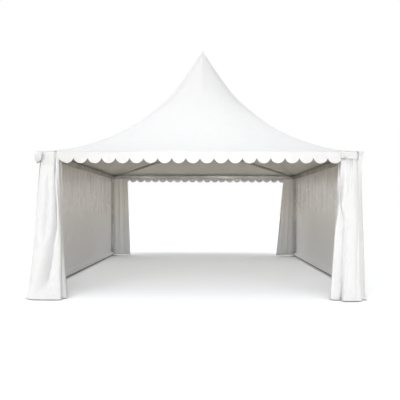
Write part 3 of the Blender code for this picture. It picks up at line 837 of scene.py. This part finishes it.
def make_wall(side):
    across = np.linspace(-WALL_ENDS, WALL_ENDS, WALL_COLUMNS)
    rows = np.linspace(WALL_TOP, WALL_FOOT, WALL_ROWS)
    sheet = wall_piece("sheet", side, across, rows, wall_white, thick=CLOTH, inside_look=wall_through_lit)
    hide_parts(f"side_wall_{side}")
    run = smooth_line(SKIRT_RUN, 24)
    skirt_across = np.linspace(-SKIRT_ENDS, SKIRT_ENDS, WALL_COLUMNS)
    skirt = wall_piece("skirt", side, skirt_across, run[:, 1], wall_skirt, -CLOTH - run[:, :1])
    band_rows = np.linspace(WALL_TOP, WALL_TOP - BAND_DEEP, 8)
    band = wall_piece("top_band", side, across, band_rows, wall_weld, BAND_PROUD)
    weld_rows = np.linspace(WALL_TOP - BAND_DEEP, SKIRT_RUN[0][1], 80)
    weld = wall_piece("weld", side, np.linspace(-WELD_HALF, WELD_HALF, 4), weld_rows, wall_weld, WELD_PROUD)


hung = {"dent": 0.0014, "fold": 0.72}
welded = {"dent": 0.0006, "fold": 4.0, "dent_size": 0.03}
# The inner faces and the skirt are painted: a warmer white as the daylight through the cloth, cooler towards
# the foot as light from the floor.
lined = {"splash_and_floor_light": COOL_FOOT, "dirt_and_floor_light": PAINTED_FLOOR_LIGHT}
wall_white = make_coated_cloth("wall_cloth", WALL_WHITES, 0.32, **hung, dent_size=0.30, splash_and_floor_light=(0.14, 0.20))
wall_weld = make_coated_cloth("wall_weld", WALL_WHITES, 0.32, **welded, splash_and_floor_light=(0.14, 0.30))
wall_through_lit = make_coated_cloth("wall_through_lit", THROUGH_LIT_WHITES, 0.20, **hung, dent_size=0.34, **lined)
wall_skirt = make_coated_cloth("wall_skirt", THROUGH_LIT_WHITES, 0.30, **welded, **lined)
for side in ("left", "right"):
    make_wall(side)


# Front curtains
# A curtain of coated cloth hangs at each front corner, its outer part in front of the beam from the roof's
# edge and the rest gathered in under the valance. The foot is drawn forward and spread in a round just above
# the ground, so it falls in long soft folds to a welded hem. A grey tape binds the outer edge, its darker
# grey partly painted shade of the edge turning away from the light.

CURTAIN_TOP = 2.188
CURTAIN_FREE = 1.99
CURTAIN_FOOT = 0.0125
CURTAIN_OUT = 2.522
CURTAIN_PLANE = 2.5222
CURTAIN_ROWS = 120
FRONT_CUT = (1.85, 0.7, 220)
FRAME_FACE = 2.52
FRAME_GAP = 0.0015
BRACKET_IN = 2.40
PLEAT_ROOM = 0.0185
HEAD_OUT = 0.027
HEAD_FOOT, HEAD_TOP = 1.92, 2.03
# (depth at the top, depth more at the foot, size, seed) of the small rumples in it
RUMPLES = (0.001, 0.005, 0.15, 3.3), (0.0008, 0.0015, 0.05, 7.7)
SLANT_DEPTH = 0.003
SCUFFED_UP = 0.003
HEM_DEEP = 0.045
HEM_PROUD = 0.0011
EDGE_TAPE = 0.013
EDGE_TAPE_THICK = 0.003
TAPE_PROUD = 0.0015
EDGE_TAPE_DROP = 0.03
OUTWARD_SLANT = 0.34
TUCK_DEPTH = 0.11
CURTAIN_WHITES = (0.785, 0.79, 0.80, 1.0), (0.74, 0.742, 0.75, 1.0)
# The tape's dark grey is partly painted shade of the curtain's edge turning away from the light.
TAPE_GREYS_AND_SHADE = (0.34, 0.34, 0.34, 1.0), (0.26, 0.26, 0.26, 1.0)


def foot_line(back, front, reach, inner_round=0.5, count=400):
    """The line of a curtain's foot, seen from above, from its outer edge round to its inner one.

    back and front are its (outer, inner) ends by the frame and in front. A smaller inner_round makes a
    sharper corner on the inner side.
    """
    angle = np.linspace(0, math.pi, count)
    power = np.where(angle > math.pi / 2, inner_round, 0.5)
    out = abs(np.sin(angle)) ** power
    side = np.sign(np.cos(angle)) * abs(np.cos(angle)) ** power
    outer = back[0] + (front[0] - back[0]) * out
    inner = back[1] + (front[1] - back[1]) * out
    across = (outer + inner) / 2 + side * (outer - inner) / 2
    return np.stack((across, CURTAIN_PLANE + reach * out), axis=-1)


def opening(heights):
    """How far down the curtain lies between the valance, at 0, and the ground, at 1."""
    return np.clip(1 - heights / CURTAIN_FREE, 0, 1)


def curtain_base(share, heights, inner_top, foot):
    """The plain curtain: straight along the beam at the top, opening evenly to the foot's line."""
    run = run_along(foot)
    low = np.stack([np.interp(share * run[-1], run, foot[:, k]) for k in range(2)], axis=-1)
    across = CURTAIN_OUT + (inner_top - CURTAIN_OUT) * share
    top = np.stack((across, np.full_like(share, CURTAIN_PLANE)), axis=-1)
    return top + (low - top) * opening(heights)[..., None]


def route_at(route, heights):
    """The share of the width at which a route, given by (height, share) points from the top down, lies."""
    line = smooth_line(route, 80)[::-1]
    return np.interp(heights, line[:, 0], line[:, 1])


def fold(share, heights, route, depths, width, lap=1.0, fade=0.16):
    """A fold that runs in along a route, its depth going from the first to the second of depths on the way.

    lap is how much steeper its inner side is than its outer one.
    """
    off = (share - route_at(route, heights)) / width
    off = np.where(off > 0, off * lap, off / lap)
    top, foot = route[0][0], route[-1][0]
    down = np.clip((top - heights) / (top - foot), 0, 1)
    held = smooth(heights, foot - fade / 2, foot + fade) * (1 - smooth(heights, top - fade, top + fade / 2))
    return -(depths[0] + (depths[1] - depths[0]) * down) * held * np.exp(-np.abs(off) ** 1.5)


def hang_curtain(row, side, cut, inner_top, foot, folds, head, swell, seed, inside_look=None, tape_at=TAPE_PROUD):
    """A curtain in one corner, with its hem and the tape on its outer edge.

    cut is (its width laid flat, the share of that rectangle that is cloth, its columns). head is the share of
    the width that hangs from the roof's edge, swell says how far the outer edge stands out at its (height,
    metres) points, and tape_at is how far the tape stands off the cloth.
    """
    name = f"{row}_curtain_{side}"
    hand = -1 if side == "left" else 1
    end = -1 if row == "front" else 1
    order = slice(None, None, hand * end)
    flat_wide, cloth_share, columns = cut
    levels, swells = zip(*swell)

    def shape(share, heights, proud):
        base = curtain_base(share, heights, inner_top, foot)
        opened = opening(heights)
        seeds = np.full_like(share, seed)
        places = np.stack((share * flat_wide, heights * 0.16, seeds), axis=-1)
        slanted = np.stack((share * flat_wide + heights * 0.35, heights * 0.5, seeds), axis=-1)
        out, moved = folds(share, heights)
        for held, loose, size, draw in RUMPLES:
            out += (held + loose * opened) * drift(places, size, draw)
        out += SLANT_DEPTH * drift(slanted, 0.17, 1.9) * smooth(opened, 0.05, 0.5)
        spot = base + outward(base) * (out + proud)[..., None] + moved
        spot[..., 0] += np.interp(heights, levels, swells) * (1 - smooth(share, 0.16, 0.46))
        in_head = (1 - smooth(share, head - 0.02, head + 0.02)) * smooth(heights, HEAD_FOOT, HEAD_TOP)
        forward = PLEAT_ROOM * (1 - smooth(opened, 0.03, 0.35)) + 0.004 * smooth(opened, 0.0, 0.1)
        spot[..., 1] += forward + (HEAD_OUT - PLEAT_ROOM) * in_head
        before_frame = (spot[..., 0] > BRACKET_IN) | (heights > BEAM_FOOT - 0.02)
        clear = np.maximum(spot[..., 1], FRAME_FACE + FRAME_GAP + proud)
        spot[..., 1] = np.where(before_frame, clear, spot[..., 1])
        scuffed = CURTAIN_FOOT + SCUFFED_UP * (1 + drift(places, 0.2, 5.5))
        return np.dstack((hand * spot[..., 0], end * spot[..., 1], np.maximum(heights, scuffed)))

    def piece(part, share, heights, look, proud, thick, inside_look=None):
        flat = np.stack((share * flat_wide, heights), axis=-1)
        points = on_tent(shape(share, heights, proud))[:, order]
        made = cloth(part, points, flat[:, order], look, thick=thick, inside_look=inside_look)
        return made

    grid = np.meshgrid(np.linspace(0, 1, columns), np.linspace(CURTAIN_TOP, CURTAIN_FOOT, CURTAIN_ROWS))
    curtain = piece(name, *grid, curtain_white, 0.0, CLOTH, inside_look)
    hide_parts(f"curtain_{row}_{side}")
    grid = np.meshgrid(np.linspace(0, 1, columns), np.linspace(HEM_DEEP, CURTAIN_FOOT, 6))
    hem = piece(f"{name}_hem", *grid, curtain_weld, HEM_PROUD, HEM_PROUD)
    hem.modifiers["cloth thickness"].use_even_offset = False
    tape_top = CURTAIN_TOP - EDGE_TAPE_DROP
    across, heights = np.meshgrid(np.linspace(0, EDGE_TAPE, 4), np.linspace(tape_top, HEM_DEEP, 90))
    top_wide = CURTAIN_OUT - inner_top
    wide = top_wide + (run_along(foot)[-1] - top_wide) * opening(heights)
    tape = piece(f"{name}_tape", across / wide, heights, edge_tape_shaded, tape_at, EDGE_TAPE_THICK)


def set_back(metres):
    """The move that sets cloth back towards the frame, slanted outwards."""
    return np.stack((OUTWARD_SLANT * metres, -metres), axis=-1)


def behind(past, depth, width):
    """How far back the cloth lies just past a layer's edge, so that it comes out from behind it."""
    return depth * smooth(past, 0.0, 0.014) * np.clip(1 - past / width, 0, 1)


def near_ground(heights, reach=0.20):
    """1 at the ground and 0 from this reach up."""
    return 1 - smooth(heights, 0.0, reach)


def hump(value, middle, wide):
    """1 at the middle, with soft sides this wide."""
    return np.exp(-(((value - middle) / wide) ** 2))


def tucked(share, heights, start, low):
    """How far the inner gathers are tucked in under the beam, past a start and above a low height."""
    below_beam = 1 - smooth(heights, BEAM_FOOT - 0.07, BEAM_FOOT - 0.03)
    return TUCK_DEPTH * smooth(share, start, start + 0.10) * smooth(heights, low, low + 0.25) * below_beam


# The left curtain's folds, as (height, share of the width) points, and the swell of its outer edge.
LEFT_MAIN = [(2.25, 0.710), (2.1, 0.700), (1.86, 0.650), (1.6, 0.623), (1.2, 0.594), (0.99, 0.577)]
LEFT_MAIN += [(0.79, 0.539), (0.56, 0.520), (0.37, 0.496), (0.25, 0.486), (0.17, 0.468), (0.12, 0.418)]
LEFT_FAINT = [(1.8, 0.396), (1.65, 0.412), (1.41, 0.439), (1.1, 0.438), (0.8, 0.446)]
LEFT_EDGE = [(2.25, 0.840), (2.1, 0.829), (1.81, 0.792), (1.5, 0.731), (1.25, 0.704), (1.03, 0.688)]
LEFT_EDGE += [(0.81, 0.658), (0.6, 0.631), (0.32, 0.611), (0.0, 0.603)]
LEFT_PLEAT = [(2.25, 0.930), (1.9, 0.895), (1.55, 0.825)]
LEFT_SWELL = [(0.0, 0.0), (0.2, 0.010), (0.48, 0.023), (0.7, 0.034), (0.9, 0.043), (1.11, 0.055)]
LEFT_SWELL += [(1.31, 0.057), (1.52, 0.043), (1.75, 0.026), (2.0, 0.008), (2.1, 0.0)]


def left_folds(share, heights):
    """A long fold runs from the gathers and hooks forward at the foot. Another turns the inner edge in."""
    out = fold(share, heights, LEFT_MAIN, (0.050, 0.135), 0.025, lap=1.5)
    out += fold(share, heights, LEFT_FAINT, (0.034, 0.055), 0.028, lap=1.3)
    out += fold(share, heights, LEFT_EDGE, (0.012, 0.008), 0.010)
    out += fold(share, heights, LEFT_PLEAT, (0.014, 0.010), 0.018)
    past = share - route_at(LEFT_EDGE, heights)
    back = behind(past, 0.10, 0.12) * (1 - smooth(heights, 0.85, 1.15)) * opening(heights)
    back += tucked(share, heights, 0.84, 1.5)
    flare = 0.022 * hump(share, 0.30, 0.06) * near_ground(heights, 0.12)
    crease = 0.0018 * hump(heights, 1.62, 0.012) * smooth(share, 0.15, 0.25)
    drawn = 0.085 * smooth(share, 0.16, 0.40) * (1 - smooth(share, 0.64, 0.90)) * near_ground(heights)
    return out + flare + crease, set_back(back - drawn)


# The right curtain's slit and folds in the same way, how far its inner part spreads, and its swell.
RIGHT_SLIT = [(1.9, 0.960), (1.64, 0.845), (1.4, 0.664), (1.2, 0.570), (1.05, 0.547), (0.86, 0.539)]
RIGHT_SLIT += [(0.5, 0.532), (0.24, 0.530), (0.0, 0.526), (-0.3, 0.522)]
RIGHT_SLIT_FOOT = [(0.24, 0.531), (-0.1, 0.527)]
RIGHT_TURNED = [(2.3, 0.200), (1.74, 0.163), (1.5, 0.142), (1.2, 0.158), (0.9, 0.185), (0.5, 0.202)]
RIGHT_TURNED += [(0.0, 0.219), (-0.3, 0.230)]
RIGHT_SHADED = [(1.35, 0.255), (0.9, 0.305), (0.5, 0.332), (0.0, 0.342), (-0.3, 0.347)]
RIGHT_FAINT = [(1.05, 0.352), (0.5, 0.394), (0.0, 0.412)]
RIGHT_PLEATS = ((2.3, 0.61), (1.4, 0.566)), ((2.3, 0.465), (1.4, 0.496)), ((2.3, 0.36), (1.5, 0.437))
RIGHT_GATHER = [(2.3, 0.82), (1.75, 0.80)]
RIGHT_SPREAD = [(0.0, 0.0), (0.3, 0.008), (0.6, 0.026), (1.0, 0.044), (1.3, 0.030), (1.5, 0.014), (1.8, 0.0)]
RIGHT_SWELL = [(0.0, 0.0), (0.2, 0.016), (0.5, 0.030), (0.9, 0.036), (1.2, 0.022), (1.5, 0.005)]
RIGHT_SWELL += [(2.02, 0.0), (2.1, 0.021)]


def right_folds(share, heights):
    """The outer part laps over the inner one along a slit, and is turned back in a long fold further out."""
    out = fold(share, heights, RIGHT_TURNED, (0.018, 0.050), 0.022, lap=0.5)
    out += fold(share, heights, RIGHT_SHADED, (0.010, 0.115), 0.018, lap=1.6)
    out += fold(share, heights, RIGHT_FAINT, (0.012, 0.018), 0.010)
    for pleat in RIGHT_PLEATS:
        out += fold(share, heights, pleat, (0.0175, 0.008), 0.018)
    out += fold(share, heights, RIGHT_GATHER, (0.012, 0.006), 0.03)
    past = share - route_at(RIGHT_SLIT, heights)
    lapped = 1 - smooth(heights, 1.45, 1.8)
    back = behind(past, 0.09, 0.10) * lapped * opening(heights) + tucked(share, heights, 0.86, 1.75)
    back -= fold(share, heights, RIGHT_SLIT_FOOT, (0.02, 0.20), 0.0045, fade=0.06)
    inner = smooth(past, -0.006, 0.006)
    drawn = 0.072 * smooth(share, 0.14, 0.34) * (1 - inner)
    drawn += (0.050 - 0.105 * smooth(past, 0.0, 0.13)) * inner * (1 - smooth(share, 0.85, 1.0))
    moved = set_back(back - drawn * near_ground(heights))
    moved[..., 0] -= np.interp(heights, *zip(*RIGHT_SPREAD)) * smooth(past, 0.0, 0.07)
    out += 0.010 * hump(past, -0.02, 0.016) * lapped
    out += fold(share, heights, RIGHT_SLIT, (0.010, 0.045), 0.009)
    return out + 0.045 * hump(share, 0.30, 0.03) * near_ground(heights, 0.07), moved


gathered = {"dent": 0.0014, "fold": 0.80, "dent_size": 0.16}
sewn = {"dent": 0.0005, "fold": 4.0}
curtain_white = make_coated_cloth("curtain_cloth", CURTAIN_WHITES, 0.40, **gathered, splash_and_floor_light=(0.10, 0.10))
curtain_weld = make_coated_cloth(
    "curtain_weld", CURTAIN_WHITES, 0.34, **sewn, dent_size=0.04, splash_and_floor_light=(0.06, 0.15)
)
# A tape whose dark grey is partly painted shade of the edge turning away.
edge_tape_shaded = make_coated_cloth("edge_tape_shaded", TAPE_GREYS_AND_SHADE, 0.60, **sewn, dent_size=0.03, splash_and_floor_light=(0.10, 0.20))
left_foot = foot_line((CURTAIN_OUT, 2.12), (2.52, 1.824), 0.695, 0.33)
right_foot = foot_line((CURTAIN_OUT, 2.15), (2.38, 1.808), 0.675, 0.18)
hang_curtain("front", "left", FRONT_CUT, 2.18, left_foot, left_folds, 0.71, LEFT_SWELL, 12.0)
hang_curtain(
    "front", "right", FRONT_CUT, 2.15, right_foot, right_folds, 0.19, RIGHT_SWELL, 15.0, tape_at=-TAPE_PROUD
)


# Rear curtains
# The same curtains hang in the rear corners, with the same hem and tape. They are pushed back against the
# posts and hang nearly straight in three shallow folds. Their inner face is painted a warmer white as the
# daylight through the cloth, cooler towards the foot as painted light from the floor.

REAR_REACH = 0.044
REAR_CUT = (0.80, 0.65, 130)
# (route, depths, width, lap) of each fold
REAR_FOLDS = (
    ([(2.3, 0.22), (0.0, 0.24)], (0.009, 0.013), 0.06, 1.0),
    ([(2.3, 0.50), (0.0, 0.48)], (0.009, 0.014), 0.06, 0.8),
    ([(2.3, 0.82), (0.0, 0.76)], (0.008, 0.012), 0.05, 1.3),
)
NO_HEAD = -1.0
STILL = ((0.0, 0.0), (CURTAIN_TOP, 0.0))
# The inner face's warm whites and its cool foot are painted light: daylight through the cloth and light from
# the floor.
REAR_THROUGH_LIT_WHITES = (0.80, 0.77, 0.715, 1.0), (0.75, 0.715, 0.66, 1.0)
REAR_PAINTED_FLOOR_LIGHT = (0.77, 0.80, 0.84, 1.0)


def rear_folds(share, heights):
    return sum(fold(share, heights, *laid) for laid in REAR_FOLDS), 0.0


rear_through_lit = make_coated_cloth(
    "rear_through_lit", REAR_THROUGH_LIT_WHITES, 0.36, **gathered, splash_and_floor_light=COOL_FOOT, dirt_and_floor_light=REAR_PAINTED_FLOOR_LIGHT
)
for side, inner_top, inner_foot, seed in (("left", 2.09, 2.00, 32.0), ("right", 2.18, 1.985, 35.0)):
    foot = foot_line((CURTAIN_OUT, inner_foot), (CURTAIN_OUT, inner_foot), REAR_REACH)
    hang_curtain("rear", side, REAR_CUT, inner_top, foot, rear_folds, NO_HEAD, STILL, seed, rear_through_lit)


# Stage
# A plain pale floor that runs out to white, soft studio light from an even sky and four large lamps, and
# the camera where the photograph was taken.

FLOOR_HALF = 60.0
FLOOR_ROUGH = 0.9
FLOOR_SEEN = (0.955, 0.969, 0.988, 1.0)
FLOOR_CAST = (0.64, 0.60, 0.545, 1.0)
GLOW_TONE = (0.98, 1.0, 1.03, 1.0)
# How much the ground glows away from the tent, and along the middle of the tent as (place, amount) points;
# the glow is painted light, and where it is less, towards the rear, painted shade.
OPEN_LIFT = 0.22
LIFT_FROM, LIFT_TO = -3.2, 3.8
LIFTS = [(-3.1, 0.22), (-2.5, 0.20), (-1.6, 0.26), (-0.2, 0.28), (0.9, 0.23), (2.5, 0.0), (3.0, 0.0)]
LIFTS += [(3.6, 0.22)]
TENT_IN, TENT_OUT = 2.35, 2.6
CONTACT_REACH = 0.12


def make_floor_finish():
    """A matt pale ground with a little glow of its own, so that it runs out to white round the tent.

    Under the tent the glow fades towards the rear as painted shade of the roof and walls, and next to the
    tent ambient occlusion dims it as a painted contact shadow.
    """
    made, tree, shader = finish("floor_white", Roughness=FLOOR_ROUGH)
    seen = node(tree, "ShaderNodeLightPath").outputs["Is Camera Ray"]
    axes = node(tree, "ShaderNodeSeparateXYZ", {"Vector": object_place(tree)}).outputs
    along = ranged(tree, axes["Y"], LIFT_FROM + MAST.y, LIFT_TO + MAST.y)
    lifts = node(tree, "ShaderNodeValToRGB", {"Fac": along})
    stops = lifts.color_ramp.elements
    for k, (place, amount) in enumerate(LIFTS):
        spot = (place - LIFT_FROM) / (LIFT_TO - LIFT_FROM)
        stop = stops[0] if k == 0 else stops.new(spot)
        stop.position = spot
        stop.color = (amount, amount, amount, 1.0)
    stops[-1].color = (OPEN_LIFT, OPEN_LIFT, OPEN_LIFT, 1.0)
    aside = maths(tree, "ABSOLUTE", maths(tree, "SUBTRACT", axes["X"], MAST.x))
    outside = soft_step(tree, aside, TENT_IN, TENT_OUT)
    feeds = {"Factor": outside, "A": lifts.outputs["Color"], "B": OPEN_LIFT}
    lift = node(tree, "ShaderNodeMix", feeds, data_type="FLOAT").outputs["Result"]
    # Ambient occlusion dims the glow next to the tent: a painted contact shadow.
    painted_contact_shade = node(tree, "ShaderNodeAmbientOcclusion", {"Distance": CONTACT_REACH}, samples=8).outputs["AO"]
    glow = maths(tree, "MULTIPLY", seen, maths(tree, "MULTIPLY", painted_contact_shade, lift))
    link(tree, shader, {"Base Color": blend(tree, seen, FLOOR_CAST, FLOOR_SEEN), "Emission Strength": glow})
    shader.inputs["Emission Color"].default_value = GLOW_TONE
    return made


ends = (-FLOOR_HALF, FLOOR_HALF)
floor_mesh = bpy.data.meshes.new("floor")
floor_mesh.from_pydata([(x, y, 0) for x in ends for y in ends], [], [(0, 2, 3, 1)])
floor_mesh.materials.append(make_floor_finish())
floor = bpy.data.objects.new("floor", floor_mesh)
bpy.context.scene.collection.objects.link(floor)

SOFTBOX_FROM = (-0.919, -0.249, 0.306)
SKY_DIM, SKY_BRIGHT = 0.67, 1.19

scene = bpy.context.scene
world = bpy.data.worlds.new("studio")
world.use_nodes = True
sky_tree = world.node_tree
looking = node(sky_tree, "ShaderNodeTexCoord").outputs["Generated"]
towards = node(sky_tree, "ShaderNodeVectorMath", {0: looking, 1: SOFTBOX_FROM}, operation="DOT_PRODUCT")
glow = ranged(sky_tree, towards.outputs["Value"], -1.0, 1.0, SKY_DIM, SKY_BRIGHT)
ray = node(sky_tree, "ShaderNodeLightPath").outputs["Is Camera Ray"]
strength = node(sky_tree, "ShaderNodeMix", {"Factor": ray, "A": glow, "B": 1.0}, data_type="FLOAT")
sky = sky_tree.nodes["Background"]
link(sky_tree, sky, {"Strength": strength.outputs["Result"]})
sky.inputs["Color"].default_value = (1.0, 1.0, 1.0, 1.0)
scene.world = world
scene.view_settings.view_transform = "Standard"

LAMPS_AIM = Vector((0.0, 0.0, 1.2))
# (place, size, watts, spread in degrees)
LAMPS = {
    "key": ((-9.0, -13.0, 11.0), 7.0, 150.0, 180),
    "left_fill": ((-7.5, -14.0, 1.9), 5.0, 15.5, 40),
    "right_fill": ((7.5, -14.0, 1.9), 5.0, 21.0, 40),
    "low_fill": ((0.3, -15.5, 0.8), 3.5, 17.0, 28),
}
for name, (place, size, energy, spread) in LAMPS.items():
    lamp = bpy.data.lights.new(name, "AREA")
    lamp.shape = "DISK"
    lamp.size = size
    lamp.energy = energy
    lamp.spread = math.radians(spread)
    placed = bpy.data.objects.new(name, lamp)
    placed.location = place
    placed.rotation_euler = (LAMPS_AIM - Vector(place)).to_track_quat("-Z", "Y").to_euler()
    scene.collection.objects.link(placed)

EYE = Vector((0.132, -9.2977, 1.2985))
YAW = 0.0191
PITCH = 0.0185
ROLL = 0.0032
FOCAL_PIXELS = 431.05
PICTURE_WIDE = 400
FAR_CLIP = 200.0

forward = Vector((-math.sin(YAW) * math.cos(PITCH), math.cos(YAW) * math.cos(PITCH), math.sin(PITCH)))
right = Vector((math.cos(YAW), math.sin(YAW), 0))
up = right.cross(forward)
rolled_right = math.cos(ROLL) * right + math.sin(ROLL) * up
rolled_up = math.cos(ROLL) * up - math.sin(ROLL) * right
turned = Matrix((rolled_right, rolled_up, -forward)).transposed().to_4x4()
camera_data = bpy.data.cameras.new("camera")
camera_data.lens = FOCAL_PIXELS / PICTURE_WIDE * camera_data.sensor_width
camera_data.clip_end = FAR_CLIP
camera = bpy.data.objects.new("camera", camera_data)
camera.matrix_world = Matrix.Translation(EYE + Vector((MAST.x, MAST.y, 0))) @ turned
scene.collection.objects.link(camera)
scene.camera = camera
